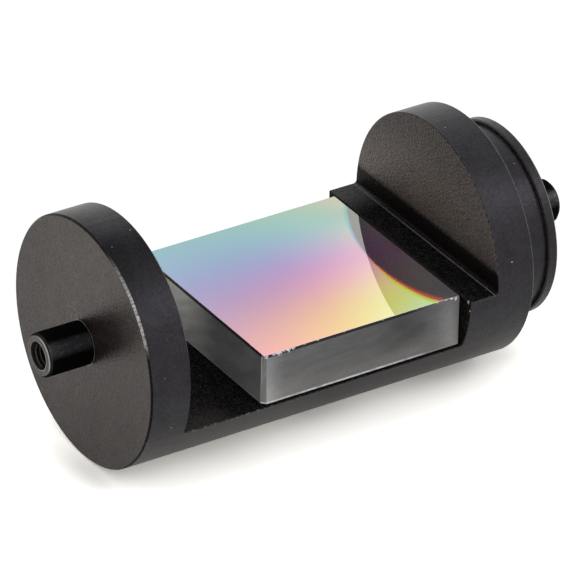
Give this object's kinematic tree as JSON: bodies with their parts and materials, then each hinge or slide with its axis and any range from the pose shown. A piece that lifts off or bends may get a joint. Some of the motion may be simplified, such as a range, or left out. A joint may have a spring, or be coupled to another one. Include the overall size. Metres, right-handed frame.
{
  "type": "rotating grating carrier",
  "caption": "Drum-shaped grating carrier: a milled cylinder with a square reflection grating in its cut-out, turning on stub trunnions at its ends, with a clamping neck.",
  "frame": {"origin": "on the trunnion axis, halfway along the ruled face, which lies in the axis plane", "axes": "+X along the trunnion axis from the tapped left pin to the right pin, +Z out of the ruled face, Y across it"},
  "size_m": [0.0653, 0.0282, 0.0282],
  "materials": {
    "black_anodised": "black anodised, satin turned outside, fine blasted in the cut-out",
    "blackened_steel": "blackened, satin",
    "adhesive": "cured silicone",
    "ground_glass": "fine ground edges",
    "resin": "clear cast",
    "mirror_film": "ruled reflecting film with pastel diffraction colours"
  },
  "bodies": {
    "trunnions": {"left_trunnion": "blackened_steel", "right_trunnion": "blackened_steel"},
    "carrier": {"carrier_body": "black_anodised", "bond_pads": "adhesive", "grating_substrate": "ground_glass", "replica_layer": "resin", "reflective_coating": "mirror_film"}
  },
  "joints": [
    {"name": "carrier_turn", "type": "hinge", "parent": "trunnions", "child": "carrier", "pos_m": [0, 0, 0], "axis": [1, 0, 0], "continuous": true}
  ]
}
